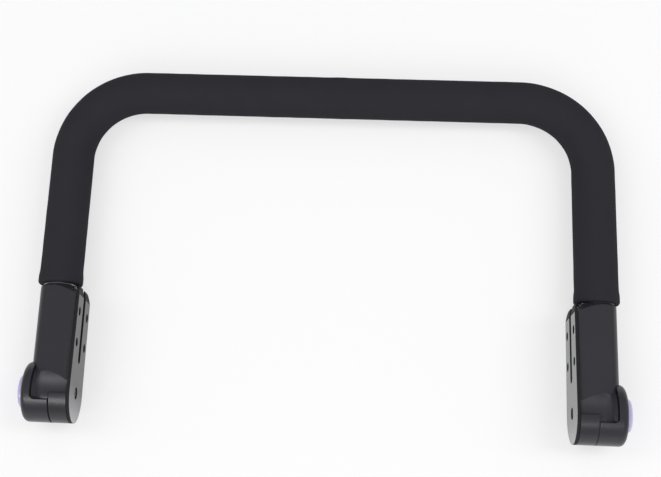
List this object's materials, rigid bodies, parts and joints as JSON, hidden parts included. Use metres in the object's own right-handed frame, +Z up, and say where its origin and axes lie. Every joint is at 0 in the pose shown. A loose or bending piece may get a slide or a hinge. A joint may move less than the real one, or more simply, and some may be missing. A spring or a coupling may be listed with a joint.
{
  "type": "pivoting grab bar",
  "caption": "U-shaped foam-covered bar whose two arms end in toothed pivot hubs, each with a push button and a slotted mounting plate.",
  "frame": {"origin": "centre of the bounding box, at its base; the bar lies flat on its hubs", "axes": "+X across the bar from the left arm to the right, +Y from the hubs to the cross bar, +Z up through the flat of the U"},
  "size_m": [0.4426, 0.2764, 0.0438],
  "materials": {
    "tube": "drawn, bright",
    "foam": "closed-cell foam, matt and smooth",
    "housing": "moulded, satin",
    "plate": "moulded, satin, smoother than the housing",
    "button": "moulded, semi-gloss, lavender",
    "screw_steel": "black oxide",
    "gear": "cast and tumbled",
    "spring": "spring wire",
    "bush": "natural acetal"
  },
  "bodies": {
    "root": {"bar_tube": "tube", "foam_grip": "foam", "left_arm_housing": "housing", "left_tube_pin": "screw_steel", "left_eye_shroud": "housing", "right_arm_housing": "housing", "right_tube_pin": "screw_steel", "right_eye_shroud": "housing"},
    "left_mount": {"left_mount_plate": "plate", "left_hub_cup": "housing", "left_button_ring": "housing", "left_pivot_bolt": "screw_steel", "left_pivot_bush": "bush", "left_thrust_washer": "bush", "left_return_spring": "spring"},
    "left_press": {"left_button": "button", "left_lock_gear": "gear"},
    "right_mount": {"right_mount_plate": "plate", "right_hub_cup": "housing", "right_button_ring": "housing", "right_pivot_bolt": "screw_steel", "right_pivot_bush": "bush", "right_thrust_washer": "bush", "right_return_spring": "spring"},
    "right_press": {"right_button": "button", "right_lock_gear": "gear"}
  },
  "joints": [
    {"name": "left_hinge", "type": "hinge", "parent": "root", "child": "left_mount", "pos_m": [-0.2, -0.11628, 0.0219], "axis": [1, 0, 0], "range_deg": [-60, 60]},
    {"name": "left_button_slide", "type": "slide", "parent": "left_mount", "child": "left_press", "axis": [1, 0, 0], "range_m": [0, 0.003], "stiffness_N_per_m": 700, "springref_m": -0.002, "deforming": ["left_return_spring"]},
    {"name": "right_hinge", "type": "hinge", "parent": "root", "child": "right_mount", "pos_m": [0.2, -0.11628, 0.0219], "axis": [1, 0, 0], "range_deg": [-60, 60]},
    {"name": "right_button_slide", "type": "slide", "parent": "right_mount", "child": "right_press", "axis": [-1, 0, 0], "range_m": [0, 0.003], "stiffness_N_per_m": 700, "springref_m": -0.002, "deforming": ["right_return_spring"]}
  ]
}
